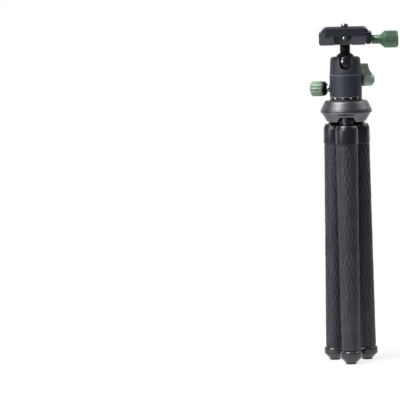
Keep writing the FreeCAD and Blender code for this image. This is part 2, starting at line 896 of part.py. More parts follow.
def make_ball_wedge():
    """Pressure piece under the cup, with a slot that the lock screw's point runs up."""
    body = new_body("ball_wedge", HEAD_FRAME)
    outside = size("housing_bore") - size("running_gap")
    revolve(body, [(0, wedge_level), (outside, wedge_level), (outside, cup_level), (0, cup_level)])
    room = side_screw + size("running_gap")
    side_hole(body, size("lever_azimuth"), lever_level, room, outside * CUT_REACH)


make_housing_lower()
make_housing_upper()
make_ball_cup()
make_ball_wedge()

ball = doc.addObject("Part::Sphere", "ball")
ball.Label = "ball"
bind(ball, Radius=size("ball_radius"))
ball.Placement = BALL_FRAME


def make_stem():
    stem = size("stem_radius")
    seat = size("ball_radius") + size("ball_gap")
    bore = size("fixing_radius") + size("running_gap")
    reach = size("stem_reach")
    bore_floor = reach - size("stem_bore_depth")
    revolve(new_body("ball_stem", BALL_FRAME), [
        (0, seat), (stem, root(seat * seat - stem * stem)), (stem, reach), (bore, reach),
        (bore, bore_floor), (0, bore_floor),
    ], {0: (seat, False)})


make_stem()


# Side knobs: each frame has its x outward along the knob's own axis.
def side_frame(azimuth, height):
    return Placement(Vector(0, 0, (head_level + height).value), turned_about_z(azimuth.value))


PAN_FRAME = side_frame(size("pan_knob_azimuth"), pan_screw_level)
LEVER_FRAME = side_frame(size("lever_azimuth"), lever_level)
housing_radius = size("housing_radius")
pan_flange_start = housing_radius + size("pan_shank_length")
pan_knob_start = pan_flange_start + size("pan_flange_length")
pan_knob_end = pan_knob_start + size("pan_knob_length")
pan_screw_end = pan_knob_start + size("pan_screw_grip")
shank = size("pan_shank_radius")


def turn_on_x(body, corners, arcs=None):
    """A solid turned about x: corners are distance along x and radius."""
    return revolve(body, corners, arcs, axis="H_Axis")


def make_pan_screw():
    point = spindle - groove + size("running_gap") * 2
    cone = size("pan_screw_point")
    thread = side_screw - size("running_gap")
    boss = housing_radius + size("running_gap")
    turn_on_x(new_body("pan_knob_screw", PAN_FRAME), [
        (point, 0), (pan_screw_end, 0), (pan_screw_end, side_screw), (pan_flange_start, side_screw),
        (pan_flange_start, shank), (boss, shank), (boss, thread), (point + cone, thread),
        (point, thread - cone),
    ])


def make_pan_flange():
    turn_on_x(new_body("pan_knob_flange", PAN_FRAME), [
        (pan_flange_start, side_screw), (pan_knob_start, side_screw),
        (pan_knob_start, size("pan_flange_large")),
        (pan_knob_start - size("pan_flange_band"), size("pan_flange_large")),
        (pan_flange_start, size("pan_flange_small")),
    ])


def make_pan_knob():
    """Grip with coarse round flutes and a bevelled end."""
    body = new_body("pan_knob", PAN_FRAME)
    radius = size("pan_knob_radius")
    start_edge = size("pan_knob_start_edge")
    end_edge = size("pan_knob_end_edge")
    flute_radius = size("pan_flute_radius")
    turn_on_x(body, [
        (pan_knob_start, side_screw), (pan_screw_end, side_screw), (pan_screw_end, 0), (pan_knob_end, 0),
        (pan_knob_end, size("pan_knob_end_radius")), (pan_knob_end - end_edge, radius),
        (pan_knob_start + start_edge, radius), (pan_knob_start, radius - start_edge),
    ])
    flute = new_sketch(body, "YZ_Plane", lift=pan_knob_start - start_edge)
    add_circle(flute, 0, radius + flute_radius - size("pan_flute_depth"), flute_radius)
    cut = pocket(body, flute, size("pan_knob_length") + start_edge * 2, along_normal=True)
    repeat(body, [cut], PAN_FLUTES, axis="X_Axis")


lever_start = housing_radius + size("lever_gap")
lever_end = lever_start + size("lever_hub_length")
lever_dome_start = lever_end - size("lever_dome")
lever_screw_end = lever_start + size("lever_screw_grip")


def make_lever():
    """Round domed hub with a flat wing that stands up from it on an S-shaped back."""
    body = new_body("lock_lever", LEVER_FRAME)
    hub = size("lever_hub_radius")
    dome = size("lever_dome")
    chamfer = size("lever_chamfer")
    turn_on_x(body, [
        (lever_start, side_screw), (lever_screw_end, side_screw), (lever_screw_end, 0), (lever_end, 0),
        (lever_end, hub - dome), (lever_dome_start, hub), (lever_start + chamfer, hub),
        (lever_start, hub - chamfer),
    ], {4: (dome, True)})
    tip = size("wing_height")
    tip_end = lever_start + size("wing_tip_length")
    edge = size("wing_edge")
    bend = size("wing_bend")
    wing = new_sketch(body, "XZ_Plane")
    add_loop(wing, [
        (lever_start, side_screw), (lever_start + size("wing_foot_length"), side_screw),
        (lever_start + size("wing_waist_length"), size("wing_waist_height")), (tip_end, tip - edge),
        (tip_end - edge, tip), (lever_start + edge, tip), (lever_start, tip - edge),
    ], {1: (bend, True), 2: (bend, False), 3: (edge, True), 5: (edge, True)})
    pad(body, wing, size("wing_thickness"), both_ways=True)


def make_lock_screw():
    """Pointed screw that lifts the pressure piece."""
    point = size("lock_screw_point")
    thread = side_screw - size("running_gap")
    turn_on_x(new_body("lock_screw", LEVER_FRAME), [
        (point, 0), (lever_screw_end, 0), (lever_screw_end, side_screw), (lever_start, side_screw),
        (lever_start, thread), (point + thread, thread),
    ])


make_pan_screw()
make_pan_flange()
make_pan_knob()
make_lever()
make_lock_screw()

# Clamp: level zero is the underside of its base. The fixed jaw is part of the base, and the
# moving jaw slides on two pins, drawn in by the knob's screw.
clamp_depth = size("clamp_depth")
clamp_floor = size("clamp_floor")
jaw_top = clamp_floor + size("jaw_top")
flank_low = clamp_floor + size("dovetail_edge")
jaw_wall = size("dovetail_half") + size("flank_gap")
jaw_lip = jaw_wall - size("dovetail_rise")
screw_level = size("clamp_screw_rise")
clamp_thread = size("clamp_screw_radius") + size("running_gap")
pin_side = size("guide_pin_spacing") * 0.5


def cross_hole(body, side, radius, start, end):
    """Hole along x between two places."""
    sketch = new_sketch(body, "YZ_Plane", lift=start)
    add_circle(sketch, side, screw_level, radius)
    return pocket(body, sketch, end - start, along_normal=True)


def upright_hole(body, side, radius, start, length):
    """Upright hole on the body's middle line, cut upward from a level."""
    sketch = new_sketch(body, "XY_Plane", lift=start)
    add_circle(sketch, 0, side, radius)
    return pocket(body, sketch, length, along_normal=True)


def make_clamp_base():
    body = new_body("clamp_base", CLAMP_FRAME)
    left = size("clamp_left")
    right = size("clamp_base_right")
    chamfer = size("clamp_chamfer")
    top_edge = size("clamp_top_edge")
    profile = new_sketch(body, "XZ_Plane")
    add_loop(profile, [
        (chamfer - left, 0), (right, 0), (right, clamp_floor), (-jaw_wall, clamp_floor),
        (-jaw_wall, flank_low), (-jaw_lip, jaw_top), (top_edge - left, jaw_top),
        (-left, jaw_top - top_edge), (-left, chamfer),
    ])
    pad(body, profile, clamp_depth, both_ways=True)
    low = size("scoop_inner")
    corner = size("scoop_round")
    scoop_left = -size("scoop_left")
    scoop_right = size("scoop_right")
    outer = clamp_depth * 0.5 + corner
    for side in (1, -1):
        scoop = new_sketch(body, "XY_Plane")
        add_loop(scoop, [
            (scoop_left, outer * side), (scoop_left, (low + corner) * side),
            (scoop_left + corner, low * side), (scoop_right - corner, low * side),
            (scoop_right, (low + corner) * side), (scoop_right, outer * side),
        ], {1: (corner, side > 0), 3: (corner, side > 0)})
        pocket(body, scoop, clamp_floor, along_normal=True)
    recess = size("fixing_recess_floor")
    upright_hole(body, 0, size("fixing_recess_radius"), recess, clamp_floor - recess)
    upright_hole(body, 0, size("fixing_radius"), as_size(0), recess)
    cross_hole(body, 0, clamp_thread, size("clamp_screw_start") - size("side_gap"), right)
    for side in (pin_side, -pin_side):
        start = size("guide_pin_start") - size("side_gap")
        cross_hole(body, side, size("guide_pin_radius") + size("running_gap"), start, right)
        spring_hole = size("spring_radius") + size("spring_seat_gap")
        cross_hole(body, side, spring_hole, right - size("spring_seat"), right)


def make_clamp_jaw():
    body = new_body("clamp_jaw", CLAMP_FRAME)
    right = size("jaw_right")
    chamfer = size("clamp_chamfer")
    top_edge = size("clamp_top_edge")
    low = size("jaw_low")
    profile = new_sketch(body, "XZ_Plane")
    add_loop(profile, [
        (jaw_wall, low), (right - chamfer, low), (right, low + chamfer),
        (right, jaw_top - top_edge), (right - top_edge, jaw_top), (jaw_lip, jaw_top),
        (jaw_wall, flank_low),
    ])
    pad(body, profile, clamp_depth, both_ways=True)
    cross_hole(body, 0, clamp_thread + size("running_gap"), jaw_wall, right)
    for side in (pin_side, -pin_side):
        cross_hole(body, side, size("guide_pin_radius"), jaw_wall, jaw_wall + size("guide_pin_grip"))


def clamp_rod(name, side, radius, start, end):
    origin = CLAMP_FRAME.Base + Vector(as_size(start).value, as_size(side).value, screw_level.value)
    return rod(name, radius, end - start, Placement(origin, Rotation(Vector(0, 1, 0), 90)))


def make_guide_pins():
    end = jaw_wall + size("guide_pin_grip")
    group("clamp_guide_pins", [
        clamp_rod("guide_pin", side, size("guide_pin_radius"), size("guide_pin_start"), end)
        for side in (pin_side, -pin_side)
    ])


def make_springs():
    springs = []
    start = size("clamp_base_right") - size("spring_seat")
    for side in (pin_side, -pin_side):
        outside = clamp_rod("spring_outside", side, size("spring_radius"), start, jaw_wall)
        inner_radius = size("spring_radius") - size("spring_wall")
        inside = clamp_rod("spring_inside", side, inner_radius, start, jaw_wall)
        coil = doc.addObject("Part::Cut", "spring")
        coil.Base = outside
        coil.Tool = inside
        springs.append(coil)
    group("clamp_springs", springs)


def make_fixing_screw():
    """Screw that holds the clamp on the neck, with its head sunk under the plate."""
    radius = size("fixing_radius")
    head_low = size("fixing_recess_floor")
    head_top = head_low + size("fixing_head_height")
    tip = -size("fixing_reach")
    body = new_body("clamp_fixing_screw", CLAMP_FRAME)
    revolve(body, [
        (0, tip), (radius, tip), (radius, head_low), (size("fixing_head_radius"), head_low),
        (size("fixing_head_radius"), head_top), (0, head_top),
    ])


knob_start = size("jaw_right") + size("knob_start_gap")
knob_cone_start = knob_start + size("knob_neck_length")
knob_grip_start = knob_cone_start + size("knob_cone_length")
knob_grip_end = knob_grip_start + size("knob_grip_length")
knob_end = knob_grip_end + size("knob_end_chamfer")
knob_screw_end = knob_start + size("knob_screw_depth")
vial_floor = knob_end - size("vial_depth")
KNOB_FRAME = Placement(CLAMP_FRAME.Base + Vector(0, 0, screw_level.value), Rotation())


def make_clamp_screw():
    radius = size("clamp_screw_radius")
    start = size("clamp_screw_start")
    bevel = size("clamp_screw_bevel")
    turn_on_x(new_body("clamp_screw", KNOB_FRAME), [
        (start, 0), (knob_screw_end, 0), (knob_screw_end, radius), (start + bevel, radius),
        (start, radius - bevel),
    ])


def make_clamp_knob():
    """Neck, cone and knurled grip with a seat for the level in its end."""
    body = new_body("clamp_knob", KNOB_FRAME)
    bore = size("clamp_screw_radius")
    radius = size("knob_radius")
    vial = size("vial_radius")
    turn_on_x(body, [
        (knob_start, bore), (knob_screw_end, bore), (knob_screw_end, 0), (vial_floor, 0),
        (vial_floor, vial), (knob_end, vial), (knob_end, size("knob_end_radius")),
        (knob_grip_end, radius), (knob_grip_start, radius), (knob_cone_start, size("knob_neck_radius")),
        (knob_start, size("knob_neck_radius")),
    ])
    depth = size("knurl_depth")
    half = size("knurl_width") * 0.5
    tooth = new_sketch(body, "YZ_Plane", lift=knob_grip_start + depth)
    outside = radius + size("knurl_margin")
    add_loop(tooth, [(0, radius - depth), (half, outside), (-half, outside)])
    cut = pocket(body, tooth, size("knob_grip_length") - depth * 2, along_normal=True)
    repeat(body, [cut], KNOB_KNURLS, axis="X_Axis")


def make_vial():
    """Round bubble level with a slightly domed window."""
    radius = size("vial_radius")
    dome = size("vial_dome")
    dome_radius = (radius * radius + dome * dome) / (dome * 2)
    turn_on_x(new_body("level_vial", KNOB_FRAME), [
        (vial_floor, 0), (knob_end, 0), (knob_end - dome, radius), (vial_floor, radius),
    ], {1: (dome_radius, True)})


make_clamp_base()
make_clamp_jaw()
make_guide_pins()
make_springs()
make_fixing_screw()
make_clamp_screw()
make_clamp_knob()
make_vial()


# Quick-release plate: level zero is its underside, which rests on the clamp's floor.
pad_floor = size("plate_height") - size("pad_recess")


def add_pad_outline(sketch):
    """Rectangle with cut corners that the pad and its recess share."""
    half = size("plate_top_half") - size("pad_margin")
    end = size("plate_length") * 0.5 - size("pad_margin")
    corner = size("pad_corner")
    add_loop(sketch, [
        (corner - half, -end), (half - corner, -end), (half, corner - end), (half, end - corner),
        (half - corner, end), (corner - half, end), (-half, end - corner), (-half, corner - end),
    ])


def make_plate():
    """Dovetail plate with a lip over the jaws, sloping sides and a recess for its pad."""
    body = new_body("quick_release_plate", PLATE_FRAME)
    half = size("dovetail_half")
    flank = size("dovetail_edge")
    waist = half - size("dovetail_rise")
    waist_level = flank + size("dovetail_rise")
    lip_level = waist_level + size("plate_lip_gap")
    lip = size("plate_lip_half")
    lip_top = lip_level + size("plate_lip_height")
    top_half = size("plate_top_half")
    top = size("plate_height")
    right = [
        (half, 0), (half, flank), (waist, waist_level), (waist, lip_level), (lip, lip_level),
        (lip, lip_top), (top_half, top),
    ]
    left = [(-x, y) for x, y in reversed(right)]
    profile = new_sketch(body, "XZ_Plane")
    add_loop(profile, right + left)
    length = size("plate_length")
    pad(body, profile, length, both_ways=True)
    corner = size("plate_corner")
    end = length * 0.5
    corners = new_sketch(body, "XY_Plane")
    for along in (1, -1):
        for side in (1, -1):
            add_loop(corners, [
                (lip * side, (end - corner) * along), ((lip + corner * 2) * side, (end - corner) * along),
                ((lip - corner) * side, (end + corner * 2) * along), ((lip - corner) * side, end * along),
            ])
    pocket(body, corners, top + lip_top, along_normal=True)
    recess = new_sketch(body, "XY_Plane", lift=pad_floor)
    add_pad_outline(recess)
    pocket(body, recess, size("pad_recess"), along_normal=True)
    upright_hole(body, 0, size("camera_screw_radius") + size("running_gap"), as_size(0), top)
    head_room = size("camera_screw_head_height") + size("camera_screw_inset") + size("side_gap")
    upright_hole(body, 0, size("camera_screw_head") + size("side_gap"), as_size(0), head_room)
    for side in (1, -1):
        place = size("stop_screw_place") * side
        upright_hole(body, place, size("stop_screw_radius"), as_size(0), size("stop_screw_grip"))


def make_pad():
    body = new_body("plate_pad", PLATE_FRAME)
    face = new_sketch(body, "XY_Plane", lift=pad_floor)
    add_pad_outline(face)
    pad(body, face, size("pad_height"))
    hole = size("camera_screw_radius") + size("side_gap")
    upright_hole(body, 0, hole, pad_floor, size("pad_height"))


def make_camera_screw():
    """Quarter-inch camera screw with a coin slot across its head and a relief under its thread."""
    body = new_body("camera_screw", PLATE_FRAME)
    low = size("camera_screw_inset")
    head_top = low + size("camera_screw_head_height")
    head = size("camera_screw_head")
    radius = size("camera_screw_radius")
    pad_top = pad_floor + size("pad_height")
    tip = pad_top + size("camera_screw_tip")
    bevel = size("camera_screw_bevel")
    revolve(body, [
        (0, low), (head, low), (head, head_top), (radius, head_top), (radius, pad_floor),
        (radius - bevel, pad_floor), (radius - bevel, pad_top), (radius, pad_top),
        (radius, tip - bevel), (radius - bevel, tip), (0, tip),
    ])
    slot = new_sketch(body, "XY_Plane", lift=low)
    half = size("coin_slot_width") * 0.5
    add_loop(slot, [(-head, -half), (head, -half), (head, half), (-head, half)])
    pocket(body, slot, size("coin_slot_depth"), along_normal=True)


def make_stop_screws():
    screws = []
    for side in (1, -1):
        place = size("stop_screw_place") * side
        base = PLATE_FRAME.Base + Vector(0, place.value, 0)
        head_base = base - Vector(0, 0, size("stop_head_height").value)
        head = rod("stop_head", size("stop_head_radius"), size("stop_head_height"),
                   Placement(head_base, Rotation()))
        thread = rod("stop_thread", size("stop_screw_radius"), size("stop_screw_grip"),
                     Placement(base, Rotation()))
        screws.append(joined("stop_screw", [head, thread]))
    group("stop_screws", screws)


make_plate()
make_pad()
make_camera_screw()
make_stop_screws()

# Every object must have computed, and every sub-part must be sound, before anything is written.
doc.recompute()
for item in doc.Objects:
    if "Invalid" in item.State or "Error" in item.State:
        raise RuntimeError("%s (%s) did not compute: %s" % (item.Name, item.Label, item.State))
used = set()
for item in doc.Objects:
    if item.TypeId in ("Part::MultiFuse", "Part::Cut", "Part::Compound"):
        used.update(child.Name for child in item.OutList)
subparts = [
    item for item in doc.Objects
    if item.Name not in used and (
        item.TypeId == "PartDesign::Body"
        or item.TypeId in ("Part::Sphere", "Part::Compound", "Part::MultiFuse", "Part::Cut"))
]
for item in subparts:
    if item.Shape.isNull() or not item.Shape.isValid() or not item.Shape.Solids:
        raise RuntimeError("%s has no sound shape" % item.Label)
os.makedirs("parts", exist_ok=True)
for item in subparts:
    item.Shape.exportStep("parts/%s.step" % item.Label)
print("sub-parts:", len(subparts), "overall height:",
      round(max(item.Shape.BoundBox.ZMax for item in subparts), 2))
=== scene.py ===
import math
import bmesh
import bpy
from mathutils import Matrix, Vector, noise
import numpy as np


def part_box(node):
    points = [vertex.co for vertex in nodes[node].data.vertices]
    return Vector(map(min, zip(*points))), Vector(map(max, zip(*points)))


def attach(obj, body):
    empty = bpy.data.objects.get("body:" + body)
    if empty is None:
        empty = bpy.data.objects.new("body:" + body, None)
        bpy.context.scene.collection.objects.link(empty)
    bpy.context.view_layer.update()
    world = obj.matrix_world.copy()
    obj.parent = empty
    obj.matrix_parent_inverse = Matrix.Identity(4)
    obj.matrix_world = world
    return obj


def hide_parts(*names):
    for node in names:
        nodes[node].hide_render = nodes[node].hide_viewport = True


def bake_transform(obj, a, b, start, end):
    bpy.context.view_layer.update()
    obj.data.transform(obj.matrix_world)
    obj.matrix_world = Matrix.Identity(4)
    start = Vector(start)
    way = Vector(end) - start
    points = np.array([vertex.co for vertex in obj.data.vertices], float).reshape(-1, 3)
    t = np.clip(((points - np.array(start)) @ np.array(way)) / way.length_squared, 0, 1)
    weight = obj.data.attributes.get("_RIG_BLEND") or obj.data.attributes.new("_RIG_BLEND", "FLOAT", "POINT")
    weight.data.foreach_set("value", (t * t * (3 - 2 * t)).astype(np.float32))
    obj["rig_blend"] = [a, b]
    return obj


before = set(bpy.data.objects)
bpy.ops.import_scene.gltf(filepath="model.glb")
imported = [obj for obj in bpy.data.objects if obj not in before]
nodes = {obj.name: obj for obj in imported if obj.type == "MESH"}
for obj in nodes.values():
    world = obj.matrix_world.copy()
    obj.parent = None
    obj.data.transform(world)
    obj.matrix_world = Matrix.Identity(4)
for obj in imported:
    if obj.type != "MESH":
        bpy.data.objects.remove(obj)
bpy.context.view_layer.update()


# Leg sleeves. Each leg's bendable core wears a moulded rubber sleeve whose outside has a raised net
# of long wavy cells. A sleeve is one skin in three lengths, and each length bends at one of the
# leg's three bends, so that the rubber turns a corner in one piece.
LEG_COUNT = 3
FRONT_AZIMUTH = -90
LEG_SPLAY = math.radians(1.3)
LEG_ROOT = 0.0171392
SLEEVE_LOW = 0.0124
SLEEVE_HIGH = 0.2007
SLEEVE_LOW_RADIUS = 0.0084
SLEEVE_HIGH_RADIUS = 0.0098
SLEEVE_BORE = 0.0042
SLEEVE_LINKS = 4
LINK_LENGTH = (SLEEVE_HIGH - SLEEVE_LOW) / SLEEVE_LINKS
BEND_REACH = 0.015
PLAIN_RIM = 0.0022
ROUNDED_RIM = 0.0007
RIM_STEPS = (0.00008, 0.0002, 0.0004, 0.0006)

CELLS_ROUND = 15
CELLS_PER_LINK = 4
CELL_LENGTH = LINK_LENGTH / CELLS_PER_LINK
CELL_WANDER = 0.34
WANDER_LENGTH = 0.011
RIDGE_WIDTH = 0.17
RIDGE_HEIGHT = 0.00046
STRAND_STRENGTH = 0.75
STRAND_FADING = 0.4
STRAND_SHIFTS = (2.7, 6.3)
STREAK_WIDTH = 0.0016
STREAK_LENGTH = 0.014
STREAK_CONTRAST = 0.9
STREAK_SHARE = 0.4

SPOKES_PER_CELL = 11
RINGS_PER_CELL = 14
SPOKES = CELLS_ROUND * SPOKES_PER_CELL
TURNS = [2 * math.pi * spoke / SPOKES for spoke in range(SPOKES)]
RING_STEP = CELL_LENGTH / RINGS_PER_CELL
BORE_STEP = 0.002


def round_point(turn, radius, level):
    return Vector((radius * math.cos(turn), radius * math.sin(turn), level))


def leg_place(leg):
    """Origin where the leg's axis meets the ground, x outward, z up along the leg."""
    turn = Matrix.Rotation(math.radians(FRONT_AZIMUTH + 360 / LEG_COUNT * leg), 4, "Z")
    return turn @ Matrix.Translation((LEG_ROOT, 0, 0)) @ Matrix.Rotation(-LEG_SPLAY, 4, "Y")


def along_leg(leg, level):
    return leg_place(leg) @ Vector((0, 0, level))


def evenly(high, low, step):
    """Levels from high down to low, a step or nearly a step apart."""
    count = round((high - low) / step)
    return [high + (low - high) * index / count for index in range(count + 1)]


def end_gap(level):
    """How far a level is from the nearer end of the sleeve."""
    return max(0.0, min(SLEEVE_HIGH - level, level - SLEEVE_LOW))


def sleeve_radius(level):
    """Radius of the sleeve without its net: a taper with rounded ends."""
    share = (level - SLEEVE_LOW) / (SLEEVE_HIGH - SLEEVE_LOW)
    taper = SLEEVE_LOW_RADIUS + (SLEEVE_HIGH_RADIUS - SLEEVE_LOW_RADIUS) * share
    corner = 1 - min(1.0, end_gap(level) / ROUNDED_RIM)
    return taper - ROUNDED_RIM * (1 - math.sqrt(1 - corner * corner))


def net_height(leg, turn, level, radius):
    """Height of the raised net, 0 in a cell and 1 on a ridge; its strands wander and fade."""
    spot = round_point(turn, radius, level + leg)
    around = CELLS_ROUND * turn / (2 * math.pi) + CELL_WANDER * noise.noise(spot / WANDER_LENGTH)
    along = level / CELL_LENGTH
    cell = 1.0
    for strand, shift in zip((around + along, around - along), STRAND_SHIFTS):
        away = abs(strand - round(strand)) / RIDGE_WIDTH
        fading = STRAND_FADING * noise.noise(spot / WANDER_LENGTH + Vector((shift, 0, 0)))
        cell *= 1 - (STRAND_STRENGTH + fading) * math.exp(-away * away)
    streak_spot = Vector((spot.x / STREAK_WIDTH, spot.y / STREAK_WIDTH, spot.z / STREAK_LENGTH))
    streak = 0.5 + STREAK_CONTRAST * noise.noise(streak_spot)
    return max(0.0, min(1.0, (1 - cell) * (1 - STREAK_SHARE) + streak * STREAK_SHARE))


def sleeve_ring(mesh, leg, level, radii, heights):
    """A ring of vertices that keep their height in the net and the point that they were made at."""
    place = leg_place(leg)
    relief = mesh.verts.layers.float["relief"]
    made_at = mesh.verts.layers.float_vector["made_at"]
    ring = []
    for turn, radius, height in zip(TURNS, radii, heights):
        spot = round_point(turn, radius, level)
        vertex = mesh.verts.new(place @ spot)
        vertex[relief] = height
        vertex[made_at] = spot
        ring.append(vertex)
    return ring


def net_ring(mesh, leg, level):
    """A ring of the sleeve's outside, where the net fades away towards the plain rims."""
    base = sleeve_radius(level)
    rim = min(1.0, end_gap(level) / PLAIN_RIM)
    fade = rim * rim * (3 - 2 * rim)
    heights = [0.5 + (net_height(leg, turn, level, base) - 0.5) * fade for turn in TURNS]
    radii = [base + RIDGE_HEIGHT * (height - 0.5) for height in heights]
    return sleeve_ring(mesh, leg, level, radii, heights)


def band(mesh, above, below, smooth=False):
    """Faces from one ring of vertices to the next; from outside, above is over below."""
    for corner in range(len(above)):
        after = (corner + 1) % len(above)
        face = mesh.faces.new((above[corner], below[corner], below[after], above[after]))
        face.smooth = smooth


def sleeve_length(leg, part, high, low):
    """One length of a leg's sleeve as a closed skin, with its net and its plain rims."""
    mesh = bmesh.new()
    mesh.verts.layers.float.new("relief")
    mesh.verts.layers.float_vector.new("made_at")
    rims = [level for gap in RIM_STEPS for level in (SLEEVE_HIGH - gap, SLEEVE_LOW + gap)]
    levels = evenly(high, low, RING_STEP) + [level for level in rims if low < level < high]
    outside = [net_ring(mesh, leg, level) for level in sorted(levels, reverse=True)]
    bore = [
        sleeve_ring(mesh, leg, level, [SLEEVE_BORE] * SPOKES, [0.0] * SPOKES)
        for level in evenly(high, low, BORE_STEP)
    ]
    for upper, lower in zip(outside, outside[1:]):
        band(mesh, upper, lower, smooth=True)
    for upper, lower in zip(bore, bore[1:]):
        band(mesh, lower, upper, smooth=True)
    band(mesh, bore[0], outside[0])
    band(mesh, outside[-1], bore[-1])
    for edge in mesh.edges:
        edge.smooth = len({face.smooth for face in edge.link_faces}) == 1
    data = bpy.data.meshes.new("sleeve")
    mesh.to_mesh(data)
    mesh.free()
    piece = bpy.data.objects.new("leg_%d_rubber_%d" % (leg + 1, part), data)
    bpy.context.scene.collection.objects.link(piece)
    return piece


class Signal:
    """An output of a shader node. Sums and products written on it become Math nodes."""

    def __init__(self, finish, socket):
        self.finish = finish
        self.socket = socket

    def maths(self, operation, first, second):
        return self.finish.node("ShaderNodeMath", {"operation": operation}, {0: first, 1: second})

    def __add__(self, other):
        return self.maths("ADD", self, other)

    def __radd__(self, other):
        return self.maths("ADD", other, self)

    def __sub__(self, other):
        return self.maths("SUBTRACT", self, other)

    def __rsub__(self, other):
        return self.maths("SUBTRACT", other, self)

    def __mul__(self, other):
        return self.maths("MULTIPLY", self, other)

    def __rmul__(self, other):
        return self.maths("MULTIPLY", other, self)

    def at_least(self, other):
        return self.maths("MAXIMUM", self, other)


def grey(light):
    return (light, light, light, 1)


def colour(red, green, blue):
    """A colour of the screen's 0 to 255 as the light that it stands for."""
    parts = [part / 255 for part in (red, green, blue)]
    return (*[part / 12.92 if part <= 0.04045 else ((part + 0.055) / 1.055) ** 2.4 for part in parts], 1)


class Finish:
    """The nodes of one material, or of the studio's surroundings."""

    # An edge starts to show, and shows fully, where its rounded normal turns away by so much.
    EDGE_TURN = (0.03, 0.11)
    EDGE_SAMPLES = 6

    def __init__(self, owner):
        self.owner = owner
        owner.use_nodes = True
        self.tree = owner.node_tree

    def node(self, kind, settings=None, inputs=None, output=0):
        """Adds a node with its settings, and with values or links in its sockets."""
        made = self.tree.nodes.new(kind)
        for name, value in (settings or {}).items():
            if name == "stops":
                for stop, (place, light) in zip(made.color_ramp.elements, value):
                    stop.position = place
                    stop.color = grey(light)
            else:
                setattr(made, name, value)
        for name, value in (inputs or {}).items():
            self.feed(made.inputs[name], value)
        return Signal(self, made.outputs[output])

    def feed(self, socket, value):
        if isinstance(value, Signal):
            self.tree.links.new(value.socket, socket)
        else:
            socket.default_value = value

    def surface(self, inputs):
        """Sets or feeds the sockets of the material's own shader."""
        shader = self.tree.nodes["Principled BSDF"]
        for name, value in inputs.items():
            self.feed(shader.inputs[name], value)

    def mixed(self, share, first, second):
        """A colour between two colours."""
        return self.node("ShaderNodeMix", {"data_type": "RGBA"}, {0: share, 6: first, 7: second}, 2)

    def place(self):
        """The point of the surface, in metres, which stays with its piece."""
        return self.node("ShaderNodeTexCoord", output="Object")

    def noise(self, place, scale, detail):
        sockets = {"Vector": place, "Scale": scale, "Detail": detail}
        return self.node("ShaderNodeTexNoise", inputs=sockets, output="Fac")

    def ramp(self, value, start, end):
        """Each stop is a place on the ramp and the light there."""
        return self.node("ShaderNodeValToRGB", {"stops": (start, end)}, {"Fac": value})

    def slope(self, value, reach, low=0.0, high=1.0, curve="LINEAR"):
        """Goes from low to high while the value goes through its reach."""
        return self.node("ShaderNodeMapRange", {"interpolation_type": curve}, {
            "Value": value, "From Min": reach[0], "From Max": reach[1], "To Min": low, "To Max": high,
        })

    def edges(self, width):
        """1 on the sharp edges of the piece and 0 on its faces."""
        rounded = self.node("ShaderNodeBevel", {"samples": self.EDGE_SAMPLES}, {"Radius": width})
        facing = self.node("ShaderNodeNewGeometry", output="Normal")
        sides = {0: rounded, 1: facing}
        alike = self.node("ShaderNodeVectorMath", {"operation": "DOT_PRODUCT"}, sides, "Value")
        return self.slope(1 - alike, self.EDGE_TURN)

    def bump(self, height, depth):
        """A normal bent by a height of 0 to 1 over so many metres."""
        return self.node("ShaderNodeBump", inputs={"Height": height, "Distance": depth}, output="Normal")


def new_finish(name):
    return Finish(bpy.data.materials.new(name))


rubber = new_finish("sleeve_rubber")
rubber_place = rubber.node("ShaderNodeAttribute", {"attribute_name": "made_at"}, output="Vector")
rubber_relief = rubber.node("ShaderNodeAttribute", {"attribute_name": "relief"}, output="Fac")
rubber_bloom = rubber.ramp(rubber.noise(rubber_place, scale=160, detail=4), (0.35, 0.0), (0.72, 1.0))
rubber_grain = rubber.noise(rubber_place, scale=5200, detail=3)
# The ridges are painted lighter than the cells: a painted highlight on the raised net and painted shade in its
# cells.
cell_painted_shade_colour = rubber.mixed(rubber_bloom, colour(13, 16, 22), colour(22, 25, 32))
ridge_painted_highlight_colour = colour(56, 59, 66)
rubber.surface({
    "Base Color": rubber.mixed(rubber_relief, cell_painted_shade_colour, ridge_painted_highlight_colour),
    "Roughness": 0.5 - rubber_relief * 0.14 + rubber_grain * 0.08,
    "Specular IOR Level": 0.5,
    "Normal": rubber.bump(rubber_grain, depth=0.00006),
})

# Two lengths of a sleeve meet halfway between two bends.
meetings = [SLEEVE_HIGH - (bend + 0.5) * LINK_LENGTH for bend in (1, 2)]
cuts = [SLEEVE_HIGH, *meetings, SLEEVE_LOW]
for leg in range(LEG_COUNT):
    for part in (1, 2, 3):
        piece = sleeve_length(leg, part, cuts[part - 1], cuts[part])
        piece.data.materials.append(rubber.owner)
        bend = SLEEVE_HIGH - part * LINK_LENGTH
        upper = "leg_%d_link_%d" % (leg + 1, part)
        lower = "leg_%d_link_%d" % (leg + 1, part + 1)
        stands_for = ["leg_%d_sleeve_%d" % (leg + 1, part)]
        if part == 3:
            stands_for.append("leg_%d_sleeve_4" % (leg + 1))
        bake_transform(piece, upper, lower, along_leg(leg, bend + BEND_REACH), along_leg(leg, bend - BEND_REACH))
        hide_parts(*stands_for)


# Leg collars, cores and feet. The collar is a turned and black anodised aluminium cap with the hinge
# tongue, the core is a bundle of soft aluminium, and the foot is a glossy moulded rubber cap.
WELD_GAP = 0.000002
SHARP_ANGLE = math.radians(32)
# Edges are painted paler within this reach, partly as wear and partly as a painted highlight.
EDGE_WEAR_AND_HIGHLIGHT = 0.0005


def dress(finish, *names, edge=0.0, slices=2):
    """Gives CAD parts a material and, where edge is given, breaks their sharp edges."""
    for name in names:
        part = nodes[name]
        for slot in part.material_slots:
            slot.material = finish.owner
        if edge:
            weld = part.modifiers.new("weld", "WELD")
            weld.merge_threshold = WELD_GAP
            soften = part.modifiers.new("soften", "BEVEL")
            soften.width = edge
            soften.segments = slices
            soften.limit_method = "ANGLE"
            soften.angle_limit = SHARP_ANGLE
            soften.harden_normals = True
            soften.use_clamp_overlap = True


